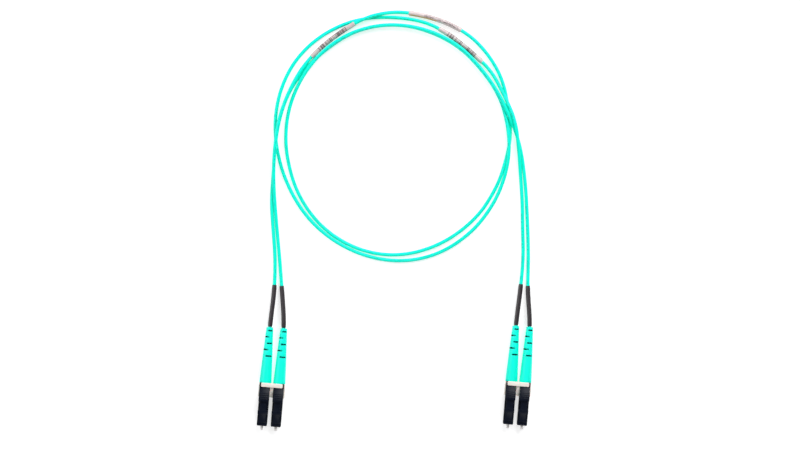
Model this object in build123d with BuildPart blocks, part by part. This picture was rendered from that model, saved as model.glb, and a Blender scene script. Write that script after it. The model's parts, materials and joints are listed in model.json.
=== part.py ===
"""Duplex fibre optic patch cord: four small latched plugs in two clipped pairs, and two round cords.

Millimetres, +Z up, standing on Z = 0. The plugs point along -Y, one pair at each side of X = 0, and
the two cords leave along +Y, run round a loose loop one and a half times and come back to the other
pair. A plug's own stations are counted back from its front face.
"""
from build123d import *
import math
import os

os.makedirs("parts", exist_ok=True)

FIT = 0.05                 # clearance between fitted pieces

# Where the plugs lie
PAIR_X = 55.0              # each pair's centre, either side of X = 0
PITCH = 6.25               # between the two plugs of a pair
FRONT_A = -26.0            # front faces of the pair at -X
FRONT_B = -16.3            # front faces of the pair at +X

# Cords: a jacket, yarn in it, and the buffered fibre in the middle
JACKET_RADIUS = 0.8
JACKET_WALL = 0.25
YARN_WALL = 0.15
YARN_RADIUS = JACKET_RADIUS - JACKET_WALL - FIT
FIBRE_RADIUS = YARN_RADIUS - YARN_WALL - FIT

# Housing
HOUSING_SIDE = 4.5
HOUSING_LENGTH = 17.5
HOUSING_BEVEL = 0.3
POCKET_RADIUS = 1.6        # round pocket about the ferrule, open at the front
POCKET_DEPTH = 2.0
SHOULDER = 0.6             # wall that stops the ferrule's flange
CHAMBER_RADIUS = 1.6       # flange and spring run in it
NOSE_LENGTH = 6.0          # of the rear body's round nose, pushed into the housing's tail
NOSE_RADIUS = CHAMBER_RADIUS + FIT

# Ferrule, flange and spring
FERRULE_RADIUS = 0.625
FERRULE_ROOM = 0.225       # round the ferrule where it passes the shoulder
FERRULE_REACH = 1.9        # stands out in front of the housing
FERRULE_END = 4.6
FERRULE_BEVEL = 0.15
FERRULE_TRAVEL = 1.0       # pushed back by a mating ferrule
FIBRE_HOLE_RADIUS = 0.0625
FLANGE_ROOM = 0.15         # between the chamber and the corners of the hexagon
FLANGE_LENGTH = 2.75
TAIL_LENGTH = 3.0
TAIL_WALL = 0.25
TAIL_ROOM = 0.1            # round the fibre in the tail
SPRING_WIRE = 0.3
SPRING_ROOM = 0.25         # between the tail and the coil
SPRING_TURNS = 5
SHOULDER_RADIUS = FERRULE_RADIUS + FERRULE_ROOM
FLANGE_RADIUS = CHAMBER_RADIUS - FLANGE_ROOM
TAIL_BORE_RADIUS = FIBRE_RADIUS + TAIL_ROOM
FERRULE_SEAT_RADIUS = TAIL_BORE_RADIUS + FIT
TAIL_RADIUS = TAIL_BORE_RADIUS + TAIL_WALL
SPRING_RADIUS = TAIL_RADIUS + SPRING_ROOM + SPRING_WIRE / 2
FIBRE_START = FERRULE_END + FERRULE_TRAVEL + 3 * FIT

# Rear body and crimp sleeve
PLATE_LENGTH = 1.9         # square plate behind the housing
POST_LENGTH = 4.1
POST_WALL = 0.65
BODY_ROOM = 0.25           # round the fibre in the rear body
HORN_WIDTH = 0.5
CRIMP_GAP = 0.5            # behind the plate, and between the post and the jacket's stop
CRIMP_NECK_LENGTH = 3.5
CRIMP_WALL = 0.3
CRIMP_NECK_WALL = 0.35
CORD_GAP = 1.0             # from the post to the cut end of the jacket
PLATE_END = HOUSING_LENGTH + PLATE_LENGTH
POST_END = PLATE_END + POST_LENGTH
BODY_BORE_RADIUS = FIBRE_RADIUS + BODY_ROOM
POST_RADIUS = BODY_BORE_RADIUS + POST_WALL
CRIMP_START = PLATE_END + CRIMP_GAP
CRIMP_STEP = POST_END + CRIMP_GAP
CRIMP_END = CRIMP_STEP + CRIMP_NECK_LENGTH
CRIMP_NECK_RADIUS = JACKET_RADIUS + FIT + CRIMP_NECK_WALL
CORD_START = POST_END + CORD_GAP

# Boot
BOOT_LENGTH = 24.8
BOOT_GRIP = 11.2           # from its base to its waist
BOOT_BASE_RADIUS = 2.75
BOOT_WAIST_RADIUS = 2.25
BOOT_TIP_WALL = 0.45
BOOT_ROOM = 0.25           # round the cord
CRIMP_ROOM = 0.15          # round the crimp sleeve
SLIT = 0.65
SLIT_PITCH = 2.85
SLIT_FIRST = 0.8           # from the waist to the first row
SLIT_LAST = 1.0            # at least this far from the end
BOOT_WAIST = PLATE_END + BOOT_GRIP
BOOT_END = PLATE_END + BOOT_LENGTH
BOOT_BORE_RADIUS = JACKET_RADIUS + BOOT_ROOM
BOOT_TIP_RADIUS = BOOT_BORE_RADIUS + BOOT_TIP_WALL
BOOT_ROOM_RADIUS = POST_RADIUS + FIT + CRIMP_WALL + CRIMP_ROOM

# Latch and trigger: strips that swing on round roots lying in cradles on the housing
LATCH_THICKNESS = 0.5
LATCH_WIDTH = 3.0
LATCH_ROOT = 1.8
LATCH_BEND = 5.0
LATCH_FLAT = 1.407         # level end, measured to where the slope would meet it
LATCH_LAP = 0.703          # reaches this far under the trigger's tip
LUG_START = 5.4
LUG_LENGTH = 1.8
LUG_THICKNESS = 0.8
TRIGGER_THICKNESS = 0.6
TRIGGER_INSET = 0.5        # of its root, from the housing's tail
TRIGGER_SLOPE = 30.0
TRIGGER_RUN = 2.3
TRIGGER_TIP = 0.7
TRIGGER_TIP_SLOPE = 3.0
TRIGGER_BEND = 7.0
TIP_GAP = 0.145            # between the trigger's tip and the latch
RIDGE_RADIUS = 0.17
RIDGES = 4
ROOT_LIFT = 0.03           # of the latch's underside above the housing
ROOT_RADIUS = TRIGGER_THICKNESS / 2
ROOT_RISE = LATCH_THICKNESS / 2 + ROOT_LIFT
TRIGGER_ROOT = HOUSING_LENGTH - TRIGGER_INSET

# Duplex clip
CLIP_FLOOR = 0.6
CLIP_WALL = 0.5
CLIP_WALL_TOP = 4.2
CLIP_LAP = 4.5             # reaches this far forward over the housings
BAR_THICKNESS = 0.7
BAY_WIDTH = HOUSING_SIDE + 2 * FIT
AXIS_Z = CLIP_FLOOR + FIT + HOUSING_SIDE / 2   # height of every plug's axis
CLIP_START = HOUSING_LENGTH - CLIP_LAP
HORN_HEIGHT = HOUSING_SIDE / 2 + FIT + BAR_THICKNESS   # above the plug's axis

# How the cords leave the boots, and what is on them
LEAD = 2.3                 # carries on straight this far behind the boot
DROOP = 0.1
SLEEVE_GAP = 0.2           # behind the boot
SLEEVE_LENGTH = 19.0
SLEEVE_WALL = 0.2
BARCODE_LABEL_WALL = 0.2
TEXT_LABEL_WALL = 0.3
SLEEVE_BORE_RADIUS = JACKET_RADIUS + FIT
SLEEVE_RADIUS = SLEEVE_BORE_RADIUS + SLEEVE_WALL
SLEEVE_START = BOOT_END + SLEEVE_GAP
SLEEVE_END = SLEEVE_START + SLEEVE_LENGTH

# The free stretch of each cord, from behind one boot to behind the other
FREE_1 = [
    (-57.5, 35.7, 1.3), (-58.4, 49.7, 0.8), (-60.35, 61.9, 0.8), (-62.3, 74.6, 0.8),
    (-62.35, 87.6, 0.8), (-62.6, 100.3, 2.8), (-61.5, 113.4, 1.45), (-58.15, 125.4, 0.8),
    (-51.55, 136.25, 0.8), (-42.2, 145.9, 0.8), (-32.0, 153.6, 0.8), (-19.9, 157.8, 0.8),
    (-7.3, 158.6, 0.8), (5.5, 155.8, 0.8), (17.2, 150.3, 0.8), (27.0, 141.6, 0.8),
    (35.45, 131.6, 0.8), (40.25, 120.2, 1.6), (42.65, 107.5, 2.9), (41.9, 95.1, 1.4),
    (37.8, 81.9, 0.8), (29.1, 68.3, 0.8), (15.4, 57.3, 0.8), (-0.8, 52.2, 0.8),
    (-17.8, 53.2, 0.8), (-33.6, 59.3, 0.8), (-47.0, 69.7, 0.8), (-56.8, 84.2, 0.8),
    (-62.3, 99.6, 0.8), (-63.8, 113.2, 0.8), (-62.1, 126.2, 0.8), (-57.1, 138.4, 0.8),
    (-48.7, 148.7, 0.8), (-37.45, 156.5, 0.8), (-25.4, 160.7, 0.8), (-11.9, 161.9, 0.8),
    (1.3, 160.6, 1.1), (12.2, 155.6, 1.1), (22.1, 148.8, 1.1), (31.5, 141.4, 1.1),
    (38.15, 130.8, 2.2), (44.05, 120.0, 3.6), (46.6, 107.8, 2.75), (48.45, 95.7, 0.9),
    (50.3, 83.6, 0.8), (51.4, 71.4, 0.9), (52.8, 59.2, 0.8), (52.7, 45.1, 1.3),
]
FREE_2 = [
    (-54.2, 35.6, 1.4), (-56.4, 49.4, 0.8), (-58.55, 61.6, 0.8), (-60.6, 74.1, 1.7),
    (-62.25, 86.8, 2.8), (-62.6, 99.7, 4.4), (-61.7, 112.7, 3.4), (-58.35, 124.7, 2.7),
    (-53.05, 136.5, 2.0), (-45.4, 145.9, 0.9), (-36.8, 153.55, 1.75), (-26.3, 160.85, 2.75),
    (-13.5, 164.5, 1.2), (-1.0, 163.7, 1.2), (10.8, 161.0, 1.3), (21.7, 155.8, 1.05),
    (30.7, 147.3, 0.8), (37.1, 137.4, 0.8), (40.5, 125.7, 0.8), (42.75, 113.2, 0.8),
    (41.6, 102.4, 0.8), (38.5, 89.4, 0.8), (30.3, 74.2, 0.8), (15.3, 61.2, 0.8),
    (-2.7, 54.6, 0.8), (-21.1, 55.6, 0.8), (-38.6, 64.2, 0.8), (-51.0, 78.7, 0.8),
    (-57.3, 95.7, 0.8), (-58.6, 109.7, 0.8), (-56.8, 121.9, 0.8), (-51.85, 134.05, 2.2),
    (-44.0, 144.7, 2.6), (-33.7, 152.7, 2.45), (-21.4, 157.5, 2.55), (-8.0, 158.6, 2.5),
    (5.0, 156.3, 2.45), (16.8, 150.9, 2.45), (26.7, 142.2, 2.45), (35.15, 132.1, 2.6),
    (41.4, 121.6, 2.7), (47.25, 109.3, 0.8), (50.95, 92.8, 0.8), (53.3, 75.2, 0.8),
    (55.1, 59.4, 0.8), (55.8, 44.4, 1.3),
]
BARCODE_LABEL_A_FROM = 11   # on cord 2: the first of the four points whose middle it covers
TEXT_LABEL_FROM = 15        # on cord 2
BARCODE_LABEL_B_FROM = 39   # on cord 1

# Worked out from the sizes above
HALF = HOUSING_SIDE / 2
ROOT_Z = HALF + ROOT_RISE
NOSE_START = HOUSING_LENGTH - NOSE_LENGTH
FLANGE_START = POCKET_DEPTH + SHOULDER + FIT
FLANGE_END = FLANGE_START + FLANGE_LENGTH
SPRING_START = FLANGE_END + FIT
SPRING_END = NOSE_START - FIT
BAY_SIDE = PITCH / 2 + BAY_WIDTH / 2
BAR_HALF = PITCH / 2 + HALF - HORN_WIDTH
BAR_BOTTOM = AXIS_Z + HALF + FIT
PLUGS = {
    "a1": (-PAIR_X - PITCH / 2, FRONT_A, -1),
    "a2": (-PAIR_X + PITCH / 2, FRONT_A, 1),
    "b1": (PAIR_X - PITCH / 2, FRONT_B, -1),
    "b2": (PAIR_X + PITCH / 2, FRONT_B, 1),
}


def finish(builder, name):
    """Label a piece and write it out."""
    builder.part.label = name
    export_step(builder.part, f"parts/{name}.step")


def station(x, front, y):
    """The plane across a plug, y behind its front face, looking back; local y is up."""
    return Plane(origin=(x, front + y, AXIS_Z), x_dir=(-1, 0, 0), z_dir=(0, 1, 0))


def side(x, front):
    """The upright plane along a plug: local x is the station and local y the height over the axis."""
    return Plane(origin=(x, front, AXIS_Z), x_dir=(0, 1, 0), z_dir=(1, 0, 0))


def plug_axis(x, front):
    return Axis((x, front, AXIS_Z), (0, 1, 0))


def make_housing(tag, x, front):
    bores = [
        (0, POCKET_DEPTH, POCKET_RADIUS),
        (POCKET_DEPTH, POCKET_DEPTH + SHOULDER, SHOULDER_RADIUS),
        (POCKET_DEPTH + SHOULDER, NOSE_START, CHAMBER_RADIUS),
        (NOSE_START, HOUSING_LENGTH, NOSE_RADIUS + FIT),
    ]
    with BuildPart() as housing:
        with BuildSketch(station(x, front, 0)):
            Rectangle(HOUSING_SIDE, HOUSING_SIDE)
        extrude(amount=HOUSING_LENGTH)
        chamfer(housing.edges().group_by(Axis.Y)[0], HOUSING_BEVEL)
        for start, end, radius in bores:
            with BuildSketch(station(x, front, start)):
                Circle(radius)
            extrude(amount=end - start, mode=Mode.SUBTRACT)
        with BuildSketch(side(x, front)):
            with Locations((LATCH_ROOT, ROOT_Z), (TRIGGER_ROOT, ROOT_Z)):
                Circle(ROOT_RADIUS + FIT)
        extrude(amount=HALF + FIT, both=True, mode=Mode.SUBTRACT)
    finish(housing, f"housing_{tag}")


def trigger_line():
    """The middle of the trigger from its root, in three lines: straight, bent over, and the tip."""
    rise = PolarLine((TRIGGER_ROOT, ROOT_Z), TRIGGER_RUN, 180 - TRIGGER_SLOPE)
    bend = JernArc(rise @ 1, rise % 1, TRIGGER_BEND, TRIGGER_SLOPE - TRIGGER_TIP_SLOPE)
    tip = PolarLine(bend @ 1, TRIGGER_TIP, 180 - TRIGGER_TIP_SLOPE)
    return bend, tip


def trigger_tip():
    with BuildLine():
        _, tip = trigger_line()
    return tip @ 1


def make_latch(tag, x, front):
    """A strip rising back from its root, with a lug each side that catches behind a socket's wall."""
    tip = trigger_tip()
    root = Vector(LATCH_ROOT, ROOT_Z)
    end = Vector(tip.X + LATCH_LAP, tip.Y - (TRIGGER_THICKNESS + LATCH_THICKNESS) / 2 - TIP_GAP)
    corner = end - Vector(LATCH_FLAT, 0)
    slope = (corner - root).normalized()
    lug_from = LUG_START - LATCH_ROOT
    with BuildPart() as latch:
        with BuildSketch(side(x, front)):
            with BuildLine():
                FilletPolyline(root, corner, end, radius=LATCH_BEND)
            trace(line_width=LATCH_THICKNESS)
            with Locations((LATCH_ROOT, ROOT_Z)):
                Circle(ROOT_RADIUS)
        extrude(amount=LATCH_WIDTH / 2, both=True)
        with BuildSketch(side(x, front)):
            with BuildLine():
                Line(root + slope * lug_from, root + slope * (lug_from + LUG_LENGTH))
            trace(line_width=LUG_THICKNESS)
        extrude(amount=HALF, both=True)
    finish(latch, f"latch_{tag}")


def make_trigger(tag, x, front):
    """A strip rising forward from its root to a thumb tip over the latch's end, with grip ridges."""
    with BuildPart() as trigger:
        with BuildSketch(side(x, front)):
            with BuildLine():
                bend, _ = trigger_line()
            trace(line_width=TRIGGER_THICKNESS)
            with Locations((TRIGGER_ROOT, ROOT_Z)):
                Circle(ROOT_RADIUS)
            for ridge in range(RIDGES):
                along = (ridge + 0.5) / RIDGES
                out = (bend % along).rotate(Axis.Z, -90)
                with Locations(bend @ along + out * TRIGGER_THICKNESS / 2):
                    Circle(RIDGE_RADIUS)
        extrude(amount=HALF, both=True)
    finish(trigger, f"trigger_{tag}")


def make_rear_body(tag, x, front, outward):
    """A nose in the housing's tail, a square plate with one upright horn, and the crimp post."""
    with BuildPart() as rear_body:
        with BuildSketch(station(x, front, NOSE_START)):
            Circle(NOSE_RADIUS)
        extrude(amount=HOUSING_LENGTH - NOSE_START)
        with BuildSketch(station(x, front, HOUSING_LENGTH)):
            Rectangle(HOUSING_SIDE, HOUSING_SIDE)
            with Locations((-outward * (HALF - HORN_WIDTH / 2), HORN_HEIGHT / 2)):
                Rectangle(HORN_WIDTH, HORN_HEIGHT)
        extrude(amount=PLATE_END - HOUSING_LENGTH)
        with BuildSketch(station(x, front, PLATE_END)):
            Circle(POST_RADIUS)
        extrude(amount=POST_END - PLATE_END)
        with BuildSketch(station(x, front, NOSE_START)):
            Circle(BODY_BORE_RADIUS)
        extrude(amount=POST_END - NOSE_START, mode=Mode.SUBTRACT)
    finish(rear_body, f"rear_body_{tag}")


def make_ferrule(tag, x, front):
    seat_length = FERRULE_END - POCKET_DEPTH
    with BuildPart() as ferrule:
        with BuildSketch(station(x, front, -FERRULE_REACH)):
            Circle(FERRULE_RADIUS)
        extrude(amount=FERRULE_REACH + POCKET_DEPTH)
        chamfer(ferrule.edges().sort_by(Axis.Y)[0], FERRULE_BEVEL)
        with BuildSketch(station(x, front, POCKET_DEPTH)):
            Circle(FERRULE_SEAT_RADIUS)
        extrude(amount=seat_length)
        with BuildSketch(station(x, front, -FERRULE_REACH)):
            Circle(FIBRE_HOLE_RADIUS)
        extrude(amount=FERRULE_REACH + FERRULE_END, mode=Mode.SUBTRACT)
    finish(ferrule, f"ferrule_{tag}")


def make_ferrule_flange(tag, x, front):
    """The hexagonal collar that holds the ferrule, with the tail that guides the spring."""
    with BuildPart() as flange:
        with BuildSketch(station(x, front, FLANGE_START)):
            RegularPolygon(FLANGE_RADIUS, 6)
        extrude(amount=FLANGE_LENGTH)
        with BuildSketch(station(x, front, FLANGE_END)):
            Circle(TAIL_RADIUS)
        extrude(amount=TAIL_LENGTH)
        with BuildSketch(station(x, front, FLANGE_START)):
            Circle(FERRULE_SEAT_RADIUS)
        extrude(amount=FERRULE_END - FLANGE_START, mode=Mode.SUBTRACT)
        with BuildSketch(station(x, front, FERRULE_END)):
            Circle(TAIL_BORE_RADIUS)
        extrude(amount=FLANGE_END + TAIL_LENGTH - FERRULE_END, mode=Mode.SUBTRACT)
    finish(flange, f"ferrule_flange_{tag}")


def make_spring(tag, x, front):
    height = SPRING_END - SPRING_START - SPRING_WIRE
    start = (x, front + SPRING_START + SPRING_WIRE / 2, AXIS_Z)
    with BuildPart() as spring:
        with BuildLine():
            coil = Helix(height / SPRING_TURNS, height, SPRING_RADIUS, center=start, direction=(0, 1, 0))
        with BuildSketch(Plane(origin=coil @ 0, z_dir=coil % 0)):
            Circle(SPRING_WIRE / 2)
        sweep()
    finish(spring, f"spring_{tag}")


def make_crimp_sleeve(tag, x, front):
    """Two bores in one turned sleeve: wide over the post and the yarn, narrow over the jacket."""
    wide_bore = POST_RADIUS + FIT
    with BuildPart() as crimp:
        with BuildSketch(station(x, front, CRIMP_START)):
            Circle(wide_bore + CRIMP_WALL)
        extrude(amount=CRIMP_STEP - CRIMP_START)
        with BuildSketch(station(x, front, CRIMP_STEP)):
            Circle(CRIMP_NECK_RADIUS)
        extrude(amount=CRIMP_END - CRIMP_STEP)
        with BuildSketch(station(x, front, CRIMP_START)):
            Circle(wide_bore)
        extrude(amount=CRIMP_STEP - CRIMP_START - CRIMP_WALL, mode=Mode.SUBTRACT)
        with BuildSketch(station(x, front, CRIMP_START)):
            Circle(JACKET_RADIUS + FIT)
        extrude(amount=CRIMP_END - CRIMP_START, mode=Mode.SUBTRACT)
    finish(crimp, f"crimp_sleeve_{tag}")


def make_boot(tag, x, front):
    """A tapered rubber tube, slit through in rows so that it bends: two arcs of a ring to a row."""
    rows = []
    y = BOOT_WAIST + SLIT_FIRST
    while y < BOOT_END - SLIT_LAST:
        rows.append((y, 90 + 45, 50) if len(rows) % 2 else (y, 90 - 17, 38))
        y += SLIT_PITCH
    with BuildPart() as boot:
        with BuildSketch(side(x, front)):
            with BuildLine():
                Polyline(
                    (PLATE_END, BOOT_ROOM_RADIUS),
                    (PLATE_END, BOOT_BASE_RADIUS),
                    (BOOT_WAIST, BOOT_WAIST_RADIUS),
                    (BOOT_END, BOOT_TIP_RADIUS),
                    (BOOT_END, BOOT_BORE_RADIUS),
                    (CRIMP_END, BOOT_BORE_RADIUS),
                    (CRIMP_END, BOOT_ROOM_RADIUS),
                    close=True,
                )
            make_face()
        revolve(axis=plug_axis(x, front))
        for y, middle, half_span in rows:
            with BuildSketch(station(x, front, y - SLIT / 2)):
                for turn in (0, 180):
                    with BuildLine():
                        first = 180 - middle - half_span + turn
                        arc = CenterArc((0, 0), BOOT_BASE_RADIUS, first, 2 * half_span)
                        Line((0, 0), arc @ 0)
                        Line(arc @ 1, (0, 0))
                    make_face()
            extrude(amount=SLIT, mode=Mode.SUBTRACT)
    finish(boot, f"boot_{tag}")


def make_duplex_clip(name, middle_x, front):
    """A tray under both plugs with walls outside them, a web between, and a bar across the top."""
    length = PLATE_END - CLIP_START
    floor = Plane(origin=(middle_x, front + CLIP_START + length / 2, 0))
    with BuildPart() as clip:
        with BuildSketch(floor):
            Rectangle(2 * (BAY_SIDE + CLIP_WALL), length)
        extrude(amount=CLIP_FLOOR)
        with BuildSketch(floor.offset(CLIP_FLOOR)):
            with Locations((BAY_SIDE + CLIP_WALL / 2, 0), (-BAY_SIDE - CLIP_WALL / 2, 0)):
                Rectangle(CLIP_WALL, length)
        extrude(amount=CLIP_WALL_TOP - CLIP_FLOOR)
        with BuildSketch(floor.offset(CLIP_FLOOR)):
            Rectangle(PITCH - BAY_WIDTH, length)
        extrude(amount=BAR_BOTTOM - CLIP_FLOOR)
        with BuildSketch(floor.offset(BAR_BOTTOM)):
            with Locations((0, (HOUSING_LENGTH + PLATE_END) / 2 - CLIP_START - length / 2)):
                Rectangle(2 * BAR_HALF, PLATE_END - HOUSING_LENGTH)
        extrude(amount=BAR_THICKNESS)
    finish(clip, name)


def lead(tag):
    """The first three points of a cord, straight down the middle of a boot."""
    x, front, _ = PLUGS[tag]
    last = BOOT_END + LEAD
    return [
        (x, front + CORD_START, AXIS_Z),
        (x, front + (CORD_START + last) / 2, AXIS_Z),
        (x, front + last, AXIS_Z - DROOP),
    ]


def corner_radii(points):
    """The largest even arc at each corner: 0.45 of the shorter run over the half turn's tangent."""
    radii = []
    for before, corner, after in zip(points, points[1:], points[2:]):
        arriving = Vector(corner) - Vector(before)
        leaving = Vector(after) - Vector(corner)
        turn = math.radians(arriving.get_angle(leaving))
        radii.append(0.45 * min(arriving.length, leaving.length) / math.tan(turn / 2))
    return radii


def tube(points, radii, outer, bore=0):
    """A round tube, or a solid rod, along straight runs joined by the given arcs."""
    with BuildPart() as run:
        with BuildLine():
            path = FilletPolyline(*points, radius=radii)
        with BuildSketch(Plane(origin=path @ 0, z_dir=path % 0)):
            Circle(outer)
            if bore:
                Circle(bore, mode=Mode.SUBTRACT)
        sweep()
    return run, path.length


def middle(first, second):
    return tuple((Vector(first) + Vector(second)) / 2)


def stretch(points, start):
    """The cord from mid-run to mid-run over four points, with the cord's own two arcs."""
    four = points[start:start + 4]
    route = [middle(four[0], four[1]), four[1], four[2], middle(four[2], four[3])]
    return route, corner_radii(four)


def make_cord(number, points):
    """Jacket, yarn and fibre, one inside another; the fibre goes on into each plug's flange."""
    radii = corner_radii(points)
    jacket_bore = JACKET_RADIUS - JACKET_WALL
    jacket, length = tube(points, radii, JACKET_RADIUS, jacket_bore)
    section = math.pi * (JACKET_RADIUS ** 2 - jacket_bore ** 2)
    print(f"cord {number}: length {length:.1f}, section x length {section * length:.2f},")
    print(f"  volume {jacket.part.volume:.2f}, smallest arc {min(radii):.1f}")
    print("  arcs " + " ".join(f"{radius:.0f}" for radius in radii))
    finish(jacket, f"jacket_{number}")
    yarn, _ = tube(points, radii, YARN_RADIUS, YARN_RADIUS - YARN_WALL)
    finish(yarn, f"yarn_{number}")
    reach = CORD_START - FIBRE_START
    inner = list(points)
    inner[0] = tuple(Vector(points[0]) - Vector(0, reach, 0))
    inner[-1] = tuple(Vector(points[-1]) - Vector(0, reach, 0))
    fibre, _ = tube(inner, radii, FIBRE_RADIUS)
    finish(fibre, f"fibre_{number}")


def make_label(name, points, start, wall):
    route, radii = stretch(points, start)
    label, _ = tube(route, radii, SLEEVE_BORE_RADIUS + wall, SLEEVE_BORE_RADIUS)
    finish(label, name)


def make_shrink_sleeve(tag, points):
    """A short tube over the cord behind the boot, its ends square to the plug; points leave the plug."""
    front = PLUGS[tag][1]
    route, radii = stretch(points, 1)
    sleeve, _ = tube(route, radii, SLEEVE_RADIUS, SLEEVE_BORE_RADIUS)
    with sleeve:
        split(bisect_by=Plane.XZ.offset(-front - SLEEVE_START), keep=Keep.BOTTOM)
        split(bisect_by=Plane.XZ.offset(-front - SLEEVE_END), keep=Keep.TOP)
    finish(sleeve, f"shrink_sleeve_{tag}")


for tag, (x, front, outward) in PLUGS.items():
    make_housing(tag, x, front)
    make_latch(tag, x, front)
    make_trigger(tag, x, front)
    make_rear_body(tag, x, front, outward)
    make_ferrule(tag, x, front)
    make_ferrule_flange(tag, x, front)
    make_spring(tag, x, front)
    make_crimp_sleeve(tag, x, front)
    make_boot(tag, x, front)

make_duplex_clip("duplex_clip_a", -PAIR_X, FRONT_A)
make_duplex_clip("duplex_clip_b", PAIR_X, FRONT_B)

cord_1 = lead("a1") + FREE_1 + lead("b1")[::-1]
cord_2 = lead("a2") + FREE_2 + lead("b2")[::-1]
make_cord(1, cord_1)
make_cord(2, cord_2)
make_label("barcode_label_a", cord_2, BARCODE_LABEL_A_FROM, BARCODE_LABEL_WALL)
make_label("text_label", cord_2, TEXT_LABEL_FROM, TEXT_LABEL_WALL)
make_label("barcode_label_b", cord_1, BARCODE_LABEL_B_FROM, BARCODE_LABEL_WALL)
make_shrink_sleeve("a1", cord_1)
make_shrink_sleeve("a2", cord_2)
make_shrink_sleeve("b1", cord_1[::-1])
make_shrink_sleeve("b2", cord_2[::-1])
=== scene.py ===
"""A duplex fibre optic patch cord: detailed plugs, boots, sleeves and labels on two cords."""
import json
import math
import bmesh
import bpy
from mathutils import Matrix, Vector

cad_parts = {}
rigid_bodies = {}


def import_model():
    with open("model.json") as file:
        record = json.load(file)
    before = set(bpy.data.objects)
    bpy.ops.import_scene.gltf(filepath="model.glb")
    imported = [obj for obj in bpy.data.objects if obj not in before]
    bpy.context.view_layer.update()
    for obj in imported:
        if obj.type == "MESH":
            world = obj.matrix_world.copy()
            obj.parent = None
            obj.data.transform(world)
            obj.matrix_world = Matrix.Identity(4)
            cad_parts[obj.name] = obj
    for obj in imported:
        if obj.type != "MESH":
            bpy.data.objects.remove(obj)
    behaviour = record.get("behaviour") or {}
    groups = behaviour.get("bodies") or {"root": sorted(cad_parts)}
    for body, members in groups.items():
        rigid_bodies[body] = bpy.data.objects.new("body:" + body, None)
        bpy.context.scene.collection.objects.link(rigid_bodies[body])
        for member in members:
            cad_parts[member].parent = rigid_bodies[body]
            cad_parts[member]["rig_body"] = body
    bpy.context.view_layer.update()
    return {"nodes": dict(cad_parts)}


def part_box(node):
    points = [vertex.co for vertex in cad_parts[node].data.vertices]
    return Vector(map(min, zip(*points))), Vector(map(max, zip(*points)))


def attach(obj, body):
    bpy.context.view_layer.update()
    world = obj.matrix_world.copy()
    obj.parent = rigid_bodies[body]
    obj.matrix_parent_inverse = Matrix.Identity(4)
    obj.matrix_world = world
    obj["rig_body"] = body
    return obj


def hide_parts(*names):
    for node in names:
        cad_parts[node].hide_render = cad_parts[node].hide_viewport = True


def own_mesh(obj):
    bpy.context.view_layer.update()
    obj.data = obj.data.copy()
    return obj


bl_info = {
    "name": "Fibre Patch Cord",
    "version": (1, 0, 0),
    "blender": (4, 5, 0),
    "location": "View3D > Sidebar > Patch Cord",
    "description": "Builds the visible pieces of a duplex fibre optic patch cord round its frame",
    "category": "Object",
}

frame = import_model()
MM = 0.001
ROOT = "cord_and_plugs"
PLUGS = ("a1", "a2", "b1", "b2")

# The cords' routes in metres, from the crimp of one plug to the crimp of the other
ROUTE_1 = [(x * MM, y * MM, z * MM) for x, y, z in (
    (-58.125, -1.5, 2.9), (-58.125, 9.5, 2.9), (-58.125, 20.5, 2.8),
    (-57.5, 35.7, 1.3), (-58.4, 49.7, 0.8), (-60.35, 61.9, 0.8), (-62.3, 74.6, 0.8),
    (-62.35, 87.6, 0.8), (-62.6, 100.3, 2.85), (-61.5, 113.4, 1.45), (-58.15, 125.4, 0.8),
    (-51.55, 136.25, 0.8), (-42.2, 145.9, 0.8), (-32.0, 153.6, 0.8), (-19.9, 157.8, 0.8),
    (-7.3, 158.6, 0.8), (5.5, 155.8, 0.8), (17.2, 150.3, 0.8), (27.0, 141.6, 0.8),
    (35.45, 131.6, 0.8), (40.25, 120.2, 1.6), (42.65, 107.5, 2.9), (41.9, 95.1, 1.4),
    (37.8, 81.9, 0.8), (29.1, 68.3, 0.8), (15.4, 57.3, 0.8), (-0.8, 52.2, 0.8),
    (-17.8, 53.2, 0.8), (-33.6, 59.3, 0.8), (-47.0, 69.7, 0.8), (-56.8, 84.2, 0.8),
    (-62.3, 99.6, 0.8), (-63.8, 113.2, 0.8), (-62.1, 126.2, 0.8), (-57.1, 138.4, 0.8),
    (-48.7, 148.7, 0.8), (-37.45, 156.5, 0.8), (-25.4, 160.7, 0.8), (-11.9, 161.9, 0.8),
    (1.3, 160.6, 1.1), (12.2, 155.6, 1.1), (22.1, 148.8, 1.1), (31.5, 141.4, 1.1),
    (38.15, 130.8, 2.2), (44.05, 120.0, 3.6), (46.6, 107.8, 2.75), (48.45, 95.7, 0.9),
    (50.3, 83.6, 0.8), (51.4, 71.4, 0.9), (52.8, 59.2, 0.8), (52.7, 45.1, 1.3),
    (51.875, 30.2, 2.8), (51.875, 19.2, 2.9), (51.875, 8.2, 2.9),
)]
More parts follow.
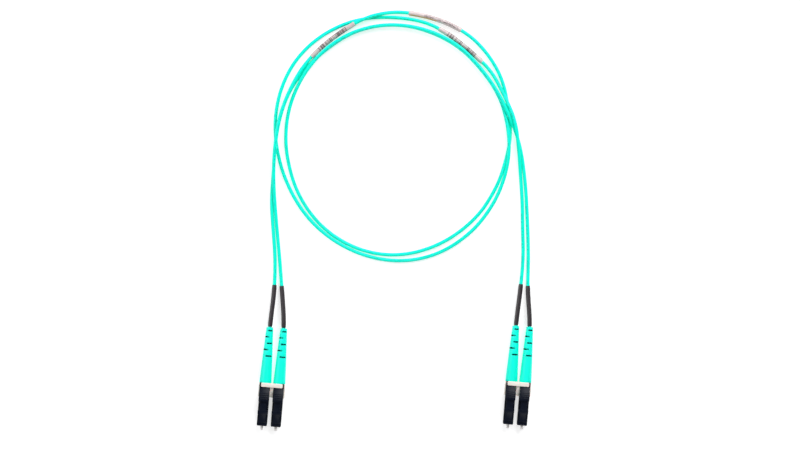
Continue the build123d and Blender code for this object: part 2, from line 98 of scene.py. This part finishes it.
ROUTE_2 = [(x * MM, y * MM, z * MM) for x, y, z in (
    (-51.875, -1.5, 2.9), (-51.875, 9.5, 2.9), (-51.875, 20.5, 2.8),
    (-54.2, 35.6, 1.4), (-56.4, 49.4, 0.8), (-58.55, 61.6, 0.8), (-60.6, 74.1, 1.7),
    (-62.25, 86.8, 2.8), (-62.6, 99.7, 4.4), (-61.7, 112.7, 3.4), (-58.35, 124.7, 2.7),
    (-53.05, 136.5, 2.0), (-45.4, 145.9, 0.9), (-36.8, 153.55, 1.75), (-26.3, 160.85, 2.75),
    (-13.5, 164.5, 1.2), (-1.0, 163.7, 1.2), (10.8, 161.0, 1.3), (21.7, 155.8, 1.05),
    (30.7, 147.3, 0.8), (37.1, 137.4, 0.8), (40.5, 125.7, 0.8), (42.75, 113.2, 0.8),
    (41.6, 102.4, 0.8), (38.5, 89.4, 0.8), (30.3, 74.2, 0.8), (15.3, 61.2, 0.8),
    (-2.7, 54.6, 0.8), (-21.1, 55.6, 0.8), (-38.6, 64.2, 0.8), (-51.0, 78.7, 0.8),
    (-57.3, 95.7, 0.8), (-58.6, 109.7, 0.8), (-56.8, 121.9, 0.8), (-51.85, 134.05, 2.2),
    (-44.0, 144.7, 2.6), (-33.7, 152.7, 2.45), (-21.4, 157.5, 2.55), (-8.0, 158.6, 2.5),
    (5.0, 156.3, 2.45), (16.8, 150.9, 2.45), (26.7, 142.2, 2.45), (35.15, 132.1, 2.6),
    (41.4, 121.6, 2.7), (47.25, 109.3, 0.8), (50.95, 92.8, 0.8), (53.3, 75.2, 0.8),
    (55.1, 59.4, 0.8), (55.8, 44.4, 1.3), (58.125, 30.2, 2.8), (58.125, 19.2, 2.9),
    (58.125, 8.2, 2.9),
)]
ROUTES = {1: ROUTE_1, 2: ROUTE_2}
CORD_OF = {"a1": 1, "b1": 1, "a2": 2, "b2": 2}

# Radii and walls in metres
JACKET_WALL = 0.00025
YARN_RADIUS = 0.0005
FIBRE_RADIUS = 0.0003
BARCODE_LABEL_RADIUS = 0.00105
TEXT_LABEL_RADIUS = 0.00115
SLEEVE_RADIUS = 0.00105
SLEEVE_WALL = 0.0002

# Edge radii in metres of the pieces that aren't moulded plastic
FERRULE_EDGE = 0.00006
FLANGE_EDGE = 0.00008
CRIMP_EDGE = 0.00005
SPRING_EDGE = 0.00001
BOOT_EDGE = 0.00005
BAR_CORNER = 0.00045

# Angles in degrees between two faces
SHARP = 25          # an edge over this is rounded
SHARP_ROUND = 40    # the same for turned and tapered pieces
SHARP_COIL = 60     # the same for a coil of wire
SMOOTH_PIECE = 35   # an edge under this is shaded smooth
SMOOTH_TUBE = 50    # the same for a tube

# The marks' grids, as counts along or around a whole piece
PRINT_CELLS = 900
PRINT_GROUPS = 9
BAR_CELLS = 110
MARK_ROWS = 30
MARK_COLUMNS = 84
ROW_STEP = 97       # between the cell numbers of one row and the next, more than MARK_COLUMNS

# The colour sockets of a Mix node
MIX_FACTOR, MIX_FIRST, MIX_SECOND, MIX_RESULT = 0, 6, 7, 2

# The stage, in metres
FLOOR_HALF = 1.6
LAMP_SIZE = 0.9
LAMP_AIM = Vector((0, 0.07, 0))
LAMPS = (
    # name, place, power in watts
    ("key_light", (0.35, 0.95, 0.75), 19.0),
    ("left_light", (-0.95, 0.3, 0.7), 9.0),
    ("front_light", (0.3, -0.9, 0.6), 6.5),
)
CAMERA_PLACE = (-0.0037, 0.0688, 1.2)
CAMERA_TURN = math.asin(0.082)


# ---------------------------------------------------------------- settings

class CordSettings(bpy.types.PropertyGroup):
    """Sizes and colours of the cords and of what is on them"""
    diameter: bpy.props.FloatProperty(
        name="Diameter", description="Outer diameter of each cord's jacket",
        default=0.0016, unit="LENGTH")
    jacket: bpy.props.FloatVectorProperty(
        name="Jacket", description="Colour of the cord's jacket",
        default=(0.0005, 0.86, 0.64), subtype="COLOR")
    print_ink: bpy.props.FloatVectorProperty(
        name="Print", description="Colour of the faint marks along the jacket",
        default=(0.002, 0.45, 0.38), subtype="COLOR")
    label: bpy.props.FloatVectorProperty(
        name="Label", description="Colour of the wrap-round labels",
        default=(0.54, 0.45, 0.45), subtype="COLOR")
    label_ink: bpy.props.FloatVectorProperty(
        name="Label ink", description="Colour of the bars and marks on the labels",
        default=(0.13, 0.09, 0.095), subtype="COLOR")
    label_wall: bpy.props.FloatProperty(
        name="Label wall", description="Thickness of a label's wrapped film",
        default=0.0002, unit="LENGTH")
    shrink: bpy.props.FloatVectorProperty(
        name="Shrink sleeve", description="Colour of the heat-shrink sleeves",
        default=(0.023, 0.018, 0.022), subtype="COLOR")


class PlugSettings(bpy.types.PropertyGroup):
    """Colours and edge radii of the plugs, clips and boots"""
    housing: bpy.props.FloatVectorProperty(
        name="Housing", description="Colour of housings, latches, triggers and rear bodies",
        default=(0.0022, 0.0042, 0.0115), subtype="COLOR")
    clip: bpy.props.FloatVectorProperty(
        name="Clip", description="Colour of the duplex clips",
        default=(0.80, 0.75, 0.69), subtype="COLOR")
    boot: bpy.props.FloatVectorProperty(
        name="Boot", description="Colour of the tapered boots",
        default=(0.0005, 0.90, 0.69), subtype="COLOR")
    edge: bpy.props.FloatProperty(
        name="Edge radius", description="Rounding of moulded plastic edges",
        default=0.00012, unit="LENGTH")


# ---------------------------------------------------------------- materials

def link(tree, source, target):
    tree.links.new(source, target)


def node(tree, kind, **inputs):
    """A node of that kind with values on its own sockets."""
    made = tree.nodes.new(kind)
    for name, value in inputs.items():
        made.inputs[name.replace("_", " ")].default_value = value
    return made


def arithmetic(tree, operation, first, second):
    made = tree.nodes.new("ShaderNodeMath")
    made.operation = operation
    for socket, value in zip(made.inputs, (first, second)):
        if isinstance(value, (int, float)):
            socket.default_value = value
        else:
            link(tree, value, socket)
    return made.outputs[0]


def blend_colours(tree, factor, first, second):
    made = tree.nodes.new("ShaderNodeMix")
    made.data_type = "RGBA"
    for index, value in ((MIX_FACTOR, factor), (MIX_FIRST, first), (MIX_SECOND, second)):
        socket = made.inputs[index]
        if isinstance(value, bpy.types.NodeSocket):
            link(tree, value, socket)
        elif isinstance(value, (int, float)):
            socket.default_value = value
        else:
            socket.default_value = (*value, 1)
    return made.outputs[MIX_RESULT]


def surface(material):
    return material.node_tree.nodes["Principled BSDF"]


def duller(material, level):
    """Less mirror-like: glossy plastic has a level of 0.5, and 0 reflects nothing."""
    surface(material).inputs["Specular IOR Level"].default_value = level


def shade(colour, factor):
    return tuple(min(1, channel * factor) for channel in colour)


def finish(name, colour, roughness, mottle, grain, depth, metallic=0.0, coat=0.0, subsurface=0.0):
    """A moulded, drawn or turned surface: mottled colour, uneven gloss and a fine grained bump.

    mottle is how much darker or lighter the patches are, grain sets the bumps per metre
    and depth their height in metres.
    """
    material = bpy.data.materials.new(name)
    material.use_nodes = True
    tree = material.node_tree
    shader = surface(material)
    shader.inputs["Metallic"].default_value = metallic
    shader.inputs["Coat Weight"].default_value = coat
    shader.inputs["Coat Roughness"].default_value = 0.2
    if subsurface:
        shader.inputs["Subsurface Weight"].default_value = subsurface
        shader.inputs["Subsurface Radius"].default_value = (0.3, 1.0, 0.8)
        shader.inputs["Subsurface Scale"].default_value = 0.0006
    place = tree.nodes.new("ShaderNodeTexCoord").outputs["Object"]
    patches = node(tree, "ShaderNodeTexNoise", Scale=grain / 12, Detail=4.0, Roughness=0.55)
    link(tree, place, patches.inputs["Vector"])
    base = blend_colours(
        tree, patches.outputs["Fac"], shade(colour, 1 - mottle), shade(colour, 1 + mottle))
    link(tree, base, shader.inputs["Base Color"])
    fine = node(tree, "ShaderNodeTexNoise", Scale=grain, Detail=3.0, Roughness=0.6)
    link(tree, place, fine.inputs["Vector"])
    spread = node(
        tree, "ShaderNodeMapRange", To_Min=roughness * 0.85, To_Max=min(1, roughness * 1.2))
    link(tree, fine.outputs["Fac"], spread.inputs["Value"])
    link(tree, spread.outputs["Result"], shader.inputs["Roughness"])
    bump = node(tree, "ShaderNodeBump", Strength=0.6, Distance=depth)
    link(tree, fine.outputs["Fac"], bump.inputs["Height"])
    link(tree, bump.outputs["Normal"], shader.inputs["Normal"])
    return material


def overlay(material, mask, colour):
    """Lays another colour over a finish where the mask is 1."""
    tree = material.node_tree
    target = surface(material).inputs["Base Color"]
    under = target.links[0].from_socket
    link(tree, blend_colours(tree, mask, under, colour), target)


def along_and_around(material):
    """The piece's own map: along it and around it, both from 0 to 1."""
    tree = material.node_tree
    split = tree.nodes.new("ShaderNodeSeparateXYZ")
    link(tree, tree.nodes.new("ShaderNodeUVMap").outputs["UV"], split.inputs[0])
    return split.outputs["X"], split.outputs["Y"]


def band(tree, value, low, high):
    """1 between low and high, else 0."""
    above = arithmetic(tree, "GREATER_THAN", value, low)
    below = arithmetic(tree, "LESS_THAN", value, high)
    return arithmetic(tree, "MULTIPLY", above, below)


def chance(tree, cell, seed):
    """A fixed random number from 0 to 1 for each whole cell."""
    draw = tree.nodes.new("ShaderNodeTexWhiteNoise")
    draw.noise_dimensions = "1D"
    whole = arithmetic(tree, "FLOOR", cell, 0)
    link(tree, arithmetic(tree, "ADD", whole, seed), draw.inputs["W"])
    return draw.outputs["Value"]


# ---------------------------------------------------------------- mesh work

def smooth_under(mesh, degrees):
    """Smooth faces that meet at less than that angle; the sharper edges stay crisp."""
    shape = bmesh.new()
    shape.from_mesh(mesh)
    for face in shape.faces:
        face.smooth = True
    for edge in shape.edges:
        edge.smooth = edge.is_manifold and edge.calc_face_angle(0) < math.radians(degrees)
    shape.to_mesh(mesh)
    shape.free()


def piece_from(mesh, name, material, slot, body, *replaced):
    piece = bpy.data.objects.new(name, mesh)
    bpy.context.scene.collection.objects.link(piece)
    mesh.materials.clear()
    mesh.materials.append(material)
    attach(piece, body)
    if replaced:
        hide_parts(*replaced)
    return piece


def is_upright(edge):
    run = edge.verts[1].co - edge.verts[0].co
    return abs(run.z) > 0.99 * run.length


def refined(node_name, radius, sharp, extra):
    """A merged copy of a CAD node's mesh with its flat faces whole and its hard edges rounded."""
    shape = bmesh.new()
    shape.from_mesh(frame["nodes"][node_name].data)
    bmesh.ops.remove_doubles(shape, verts=shape.verts, dist=1e-7)
    bmesh.ops.dissolve_limit(
        shape, angle_limit=math.radians(0.5), verts=shape.verts, edges=shape.edges)
    if extra:
        extra(shape)
    hard = [
        edge for edge in shape.edges
        if edge.is_manifold and edge.calc_face_angle(0) > math.radians(sharp)
    ]
    bmesh.ops.bevel(
        shape, geom=hard, offset=radius, offset_type="OFFSET", affect="EDGES", segments=2,
        profile=0.5, material=-1, clamp_overlap=True, harden_normals=False)
    bmesh.ops.dissolve_degenerate(shape, dist=1e-8, edges=shape.edges)
    mesh = bpy.data.meshes.new(node_name + "_detailed")
    shape.to_mesh(mesh)
    shape.free()
    smooth_under(mesh, SMOOTH_PIECE)
    return mesh


def detail(node_name, radius, material, slot, sharp=SHARP, extra=None):
    """The visible piece in place of a CAD node, on the node's own body."""
    mesh = refined(node_name, radius, sharp, extra)
    body = frame["nodes"][node_name]["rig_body"]
    return piece_from(mesh, node_name + "_detailed", material, slot, body, node_name)


def spline_curve(name, points, radius, kind="NURBS"):
    curve = bpy.data.curves.new(name, "CURVE")
    curve.dimensions = "3D"
    curve.twist_mode = "Z_UP"
    curve.bevel_depth = radius
    curve.bevel_resolution = 6
    curve.use_fill_caps = False
    spline = curve.splines.new(kind)
    spline.points.add(len(points) - 1)
    for point, place in zip(spline.points, points):
        point.co = (*place, 1)
    if kind == "NURBS":
        spline.order_u = 3
        spline.use_endpoint_u = True
        spline.resolution_u = 12
    spline.use_smooth = True
    return curve


def to_mesh(curve):
    """The curve's mesh, as the modifier stack would give it; the curve itself is removed."""
    holder = bpy.data.objects.new(curve.name, curve)
    bpy.context.scene.collection.objects.link(holder)
    graph = bpy.context.evaluated_depsgraph_get()
    mesh = bpy.data.meshes.new_from_object(holder.evaluated_get(graph), depsgraph=graph)
    bpy.data.objects.remove(holder)
    bpy.data.curves.remove(curve)
    return mesh


def route_line(number):
    """The points of the cord's smooth line, in order."""
    line = to_mesh(spline_curve("route", ROUTES[number], 0))
    points = [vertex.co.copy() for vertex in line.vertices]
    bpy.data.meshes.remove(line)
    return points


def nearest_index(points, place):
    return min(range(len(points)), key=lambda i: (points[i] - Vector(place)).length)


def tube_mesh(name, points, radius, wall=0.0, flare=None):
    """An open tube along the points with its own map; wall thickens it inwards."""
    curve = spline_curve(name, points, radius, "POLY")
    if flare:
        for index, point in enumerate(curve.splines[0].points):
            point.radius = flare(index / (len(points) - 1))
    mesh = to_mesh(curve)
    if wall:
        shape = bmesh.new()
        shape.from_mesh(mesh)
        bmesh.ops.recalc_face_normals(shape, faces=shape.faces)
        bmesh.ops.solidify(shape, geom=shape.faces, thickness=wall)
        bmesh.ops.recalc_face_normals(shape, faces=shape.faces)
        shape.to_mesh(mesh)
        shape.free()
    smooth_under(mesh, SMOOTH_TUBE)
    return mesh


# ---------------------------------------------------------------- the pieces

class PATCHCORD_OT_plugs(bpy.types.Operator):
    """Housings, latches, triggers and rear bodies, with rounded moulded edges"""
    bl_idname = "patchcord.plugs"
    bl_label = "Plugs"

    def execute(self, context):
        settings = context.scene.patchcord_plugs
        plastic = finish("housing_plastic", settings.housing, 0.42, 0.12, 9000, 0.000004)
        duller(plastic, 0.15)
        for tag in PLUGS:
            for kind in ("housing", "latch", "trigger", "rear_body"):
                detail(f"{kind}_{tag}", settings.edge, plastic, "housing")
        return {"FINISHED"}


class PATCHCORD_OT_inner_parts(bpy.types.Operator):
    """Ferrules, their flanges, springs and crimp sleeves"""
    bl_idname = "patchcord.inner_parts"
    bl_label = "Ferrules, springs and crimps"

    def execute(self, context):
        ceramic = finish(
            "ferrule_ceramic", (0.78, 0.76, 0.75), 0.12, 0.02, 12000, 0.000001, coat=0.3)
        turned = finish(
            "flange_metal", (0.60, 0.60, 0.58), 0.30, 0.08, 15000, 0.000002, metallic=1.0)
        wire = finish(
            "spring_wire", (0.52, 0.52, 0.54), 0.25, 0.08, 15000, 0.000002, metallic=1.0)
        dark = finish(
            "crimp_metal", (0.05, 0.055, 0.06), 0.35, 0.10, 12000, 0.000003, metallic=0.6)
        for tag in PLUGS:
            detail(f"ferrule_{tag}", FERRULE_EDGE, ceramic, "ferrule", SHARP_ROUND)
            detail(f"ferrule_flange_{tag}", FLANGE_EDGE, turned, "flange_metal")
            detail(f"crimp_sleeve_{tag}", CRIMP_EDGE, dark, "crimp_metal")
            coil = detail(f"spring_{tag}", SPRING_EDGE, wire, "spring_steel", SHARP_COIL)
            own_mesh(coil)
        return {"FINISHED"}


class PATCHCORD_OT_clips(bpy.types.Operator):
    """The off-white trays that hold each pair of plugs together"""
    bl_idname = "patchcord.clips"
    bl_label = "Duplex clips"

    def execute(self, context):
        settings = context.scene.patchcord_plugs
        plastic = finish("clip_plastic", settings.clip, 0.42, 0.03, 7000, 0.000005, subsurface=0.15)

        def round_bar(shape):
            """Larger radii on the upright corners of the bar across the top."""
            top = max(vertex.co.z for vertex in shape.verts)
            corners = [
                edge for edge in shape.edges
                if is_upright(edge) and max(v.co.z for v in edge.verts) > top - 1e-6
            ]
            bmesh.ops.bevel(
                shape, geom=corners, offset=BAR_CORNER, offset_type="OFFSET", affect="EDGES",
                segments=4, profile=0.5, material=-1, clamp_overlap=True)

        for pair in "ab":
            detail(f"duplex_clip_{pair}", settings.edge, plastic, "clip", extra=round_bar)
        return {"FINISHED"}


class PATCHCORD_OT_boots(bpy.types.Operator):
    """Tapered elastomer boots with their rows of bending slits, and painted shade on the slit walls
    and the bore
    """
    bl_idname = "patchcord.boots"
    bl_label = "Boots"

    def execute(self, context):
        settings = context.scene.patchcord_plugs
        rubber = finish("boot_rubber", settings.boot, 0.46, 0.035, 6000, 0.000006, subsurface=0.25)
        duller(rubber, 0.25)
        # Near-black teal for the slit walls and the bore: painted shade where the aqua rubber lies
        # in shadow
        inside = finish("boot_slit_painted_shade", (0.004, 0.016, 0.018), 0.7, 0.1, 6000, 0.000006)
        for tag in PLUGS:
            boot = detail(f"boot_{tag}", BOOT_EDGE, rubber, "boot", SHARP_ROUND)
            boot.data.materials.append(inside)
            low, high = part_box(f"boot_{tag}")
            axis = (Vector(low) + Vector(high)) / 2
            # Faces turned towards the boot's axis, the bore and the slit walls, take the painted
            # shade
            for face in boot.data.polygons:
                outward = Vector((face.center.x - axis.x, 0, face.center.z - axis.z))
                if face.normal.dot(outward) < 0.3 * outward.length:
                    face.material_index = 1
        return {"FINISHED"}


class PATCHCORD_OT_cords(bpy.types.Operator):
    """The two jacketed cords with their yarn and fibre, each on one smooth line"""
    bl_idname = "patchcord.cords"
    bl_label = "Cords"

    def execute(self, context):
        settings = context.scene.patchcord_cords
        jacket = finish("cord_jacket", settings.jacket, 0.38, 0.03, 5000, 0.000005, subsurface=0.2)
        duller(jacket, 0.2)
        tree = jacket.node_tree
        along, around = along_and_around(jacket)
        cell = arithmetic(tree, "MULTIPLY", along, PRINT_CELLS)
        stroke = arithmetic(tree, "GREATER_THAN", chance(tree, cell, 5), 0.45)
        group = arithmetic(
            tree, "FRACT", arithmetic(tree, "MULTIPLY", along, PRINT_GROUPS), 0)
        printed = arithmetic(tree, "MULTIPLY", stroke, band(tree, group, 0.1, 0.55))
        marks = arithmetic(tree, "MULTIPLY", printed, band(tree, around, 0.20, 0.32))
        overlay(jacket, arithmetic(tree, "MULTIPLY", marks, 0.45), settings.print_ink)
        aramid = finish("aramid_yarn", (0.78, 0.60, 0.12), 0.6, 0.2, 20000, 0.00001)
        buffer = finish("fibre_buffer", (0.01, 0.75, 0.65), 0.3, 0.03, 8000, 0.000002)
        for number in (1, 2):
            points = route_line(number)
            for kind, radius, material in (
                ("yarn", YARN_RADIUS, aramid),
                ("fibre", FIBRE_RADIUS, buffer),
            ):
                mesh = tube_mesh(f"{kind}_{number}_smooth", points, radius)
                shape = bmesh.new()
                shape.from_mesh(mesh)
                rims = [edge for edge in shape.edges if edge.is_boundary]
                bmesh.ops.holes_fill(shape, edges=rims, sides=0)
                shape.to_mesh(mesh)
                shape.free()
                name = f"{kind}_{number}"
                piece_from(mesh, name + "_smooth", material, kind, ROOT, name)
            name = f"jacket_{number}"
            mesh = tube_mesh(name + "_smooth", points, settings.diameter / 2, JACKET_WALL)
            cord = piece_from(mesh, name + "_smooth", jacket, "jacket", ROOT, name)
        return {"FINISHED"}


class PATCHCORD_OT_labels(bpy.types.Operator):
    """Wrap-round labels: two with generic bars and one with rows of small generic marks"""
    bl_idname = "patchcord.labels"
    bl_label = "Labels"

    def execute(self, context):
        settings = context.scene.patchcord_cords
        film = {}
        for kind in ("barcode", "text"):
            film[kind] = finish(
                f"{kind}_film", settings.label, 0.33, 0.025, 5000, 0.000003, coat=0.3)
        tree = film["barcode"].node_tree
        along, around = along_and_around(film["barcode"])
        cell = arithmetic(tree, "MULTIPLY", along, BAR_CELLS)
        bars = arithmetic(tree, "GREATER_THAN", chance(tree, cell, 3), 0.40)
        bars = arithmetic(tree, "MULTIPLY", bars, band(tree, along, 0.16, 0.83))
        overlay(film["barcode"], arithmetic(tree, "MULTIPLY", bars, 0.9), settings.label_ink)
        tree = film["text"].node_tree
        along, around = along_and_around(film["text"])
        row = arithmetic(tree, "FLOOR", arithmetic(tree, "MULTIPLY", around, MARK_ROWS), 0)
        column = arithmetic(tree, "FLOOR", arithmetic(tree, "MULTIPLY", along, MARK_COLUMNS), 0)
        cell = arithmetic(tree, "ADD", arithmetic(tree, "MULTIPLY", row, ROW_STEP), column)
        marks = arithmetic(tree, "GREATER_THAN", chance(tree, cell, 11), 0.48)
        marks = arithmetic(tree, "MULTIPLY", marks, band(tree, along, 0.28, 0.94))
        marks = arithmetic(tree, "MULTIPLY", marks, band(tree, around, 0.07, 0.27))
        tan_edge = arithmetic(
            tree, "MULTIPLY", band(tree, around, 0.27, 0.47), band(tree, along, 0.03, 0.52))
        overlay(film["text"], tan_edge, (0.60, 0.30, 0.15))
        overlay(film["text"], arithmetic(tree, "MULTIPLY", marks, 0.8), settings.label_ink)
        placed = (
            # name, cord, first of the four points whose middle it covers, radius, kind
            ("barcode_label_a", 2, 11, BARCODE_LABEL_RADIUS, "barcode"),
            ("text_label", 2, 15, TEXT_LABEL_RADIUS, "text"),
            ("barcode_label_b", 1, 39, BARCODE_LABEL_RADIUS, "barcode"),
        )
        for name, number, first, radius, kind in placed:
            route = [Vector(point) for point in ROUTES[number]]
            points = route_line(number)
            ends = [(route[i] + route[i + 1]) / 2 for i in (first, first + 2)]
            low, high = (nearest_index(points, end) for end in ends)
            mesh = tube_mesh(name + "_film", points[low:high + 1], radius, settings.label_wall)
            piece = piece_from(mesh, name + "_film", film[kind], "label", ROOT, name)
            piece["patchcord_on"] = number
        return {"FINISHED"}


class PATCHCORD_OT_shrink_sleeves(bpy.types.Operator):
    """Heat-shrink sleeves behind the boots, drawn in and slightly lipped at their ends"""
    bl_idname = "patchcord.shrink_sleeves"
    bl_label = "Shrink sleeves"

    def execute(self, context):
        settings = context.scene.patchcord_cords
        shrink = finish("shrink_sleeve", settings.shrink, 0.42, 0.12, 5000, 0.000008)

        def drawn_in(share):
            """A hair narrower at the ends, with a ripple where it shrank."""
            end = min(share, 1 - share)
            return 0.93 + 0.07 * min(1, end / 0.05) - 0.012 * abs(math.sin(share * 23))

        for tag in PLUGS:
            points = route_line(CORD_OF[tag])
            if tag[0] == "b":
                points = points[::-1]
            low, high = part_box(f"shrink_sleeve_{tag}")
            inside = [p for p in points[:len(points) // 4] if low[1] <= p.y <= high[1]]
            name = f"shrink_sleeve_{tag}"
            mesh = tube_mesh(name + "_drawn", inside, SLEEVE_RADIUS, SLEEVE_WALL, drawn_in)
            piece = piece_from(mesh, name + "_drawn", shrink, "shrink_sleeve", ROOT, name)
            piece["patchcord_on"] = CORD_OF[tag]
        return {"FINISHED"}


def soft_room():
    """White light from all sides, less from overhead so that level dark faces stay dark."""
    world = bpy.data.worlds.new("soft_room")
    world.use_nodes = True
    tree = world.node_tree
    background = tree.nodes["Background"]
    direction = tree.nodes.new("ShaderNodeTexCoord").outputs["Generated"]
    split = tree.nodes.new("ShaderNodeSeparateXYZ")
    link(tree, direction, split.inputs[0])
    fall = node(
        tree, "ShaderNodeMapRange", From_Min=0.55, From_Max=0.97, To_Min=0.80, To_Max=0.06)
    fall.interpolation_type = "SMOOTHSTEP"
    link(tree, split.outputs["Z"], fall.inputs["Value"])
    link(tree, fall.outputs["Result"], background.inputs["Strength"])
    return world


class PATCHCORD_OT_stage(bpy.types.Operator):
    """A pale floor, soft light from behind, the left and the front, and the camera overhead"""
    bl_idname = "patchcord.stage"
    bl_label = "Floor, light and camera"

    def execute(self, context):
        scene = context.scene
        shape = bmesh.new()
        bmesh.ops.create_grid(shape, x_segments=2, y_segments=2, size=FLOOR_HALF)
        mesh = bpy.data.meshes.new("floor")
        shape.to_mesh(mesh)
        shape.free()
        floor = bpy.data.objects.new("floor", mesh)
        scene.collection.objects.link(floor)
        paint = finish("floor_paint", (0.55, 0.55, 0.55), 0.9, 0.004, 60, 0.00001)
        surface(paint).inputs["Emission Color"].default_value = (1, 1, 1, 1)
        surface(paint).inputs["Emission Strength"].default_value = 0.62
        duller(paint, 0.0)
        mesh.materials.append(paint)
        scene.world = soft_room()
        for name, place, power in LAMPS:
            light = bpy.data.lights.new(name, "AREA")
            light.size = LAMP_SIZE
            light.energy = power
            lamp = bpy.data.objects.new(name, light)
            lamp.location = place
            aim = LAMP_AIM - Vector(place)
            lamp.rotation_euler = aim.to_track_quat("-Z", "Y").to_euler()
            scene.collection.objects.link(lamp)
        lens = bpy.data.cameras.new("overhead")
        lens.sensor_width = 36
        lens.lens = 120
        lens.clip_start = 0.01
        camera = bpy.data.objects.new("overhead", lens)
        camera.location = CAMERA_PLACE
        camera.rotation_euler = (0, 0, CAMERA_TURN)
        scene.collection.objects.link(camera)
        scene.camera = camera
        scene.view_settings.view_transform = "Standard"
        return {"FINISHED"}


class PATCHCORD_PT_panel(bpy.types.Panel):
    """The patch cord's settings, and a button for each group of pieces"""
    bl_idname = "PATCHCORD_PT_panel"
    bl_label = "Patch Cord"
    bl_space_type = "VIEW_3D"
    bl_region_type = "UI"
    bl_category = "Patch Cord"

    def draw(self, context):
        for settings in (context.scene.patchcord_cords, context.scene.patchcord_plugs):
            box = self.layout.box()
            for name in settings.bl_rna.properties.keys():
                if name not in ("rna_type", "name"):
                    box.prop(settings, name)
        for operator in OPERATORS:
            self.layout.operator(operator.bl_idname)


OPERATORS = (
    PATCHCORD_OT_plugs,
    PATCHCORD_OT_inner_parts,
    PATCHCORD_OT_clips,
    PATCHCORD_OT_boots,
    PATCHCORD_OT_labels,
    PATCHCORD_OT_shrink_sleeves,
    PATCHCORD_OT_cords,
    PATCHCORD_OT_stage,
)
CLASSES = (CordSettings, PlugSettings, *OPERATORS, PATCHCORD_PT_panel)


def register():
    for cls in CLASSES:
        bpy.utils.register_class(cls)
    bpy.types.Scene.patchcord_cords = bpy.props.PointerProperty(type=CordSettings)
    bpy.types.Scene.patchcord_plugs = bpy.props.PointerProperty(type=PlugSettings)


def unregister():
    del bpy.types.Scene.patchcord_plugs
    del bpy.types.Scene.patchcord_cords
    for cls in reversed(CLASSES):
        bpy.utils.unregister_class(cls)


def main():
    register()
    for operator in OPERATORS:
        group, name = operator.bl_idname.split(".")
        getattr(getattr(bpy.ops, group), name)()


if __name__ == "__main__":
    main()
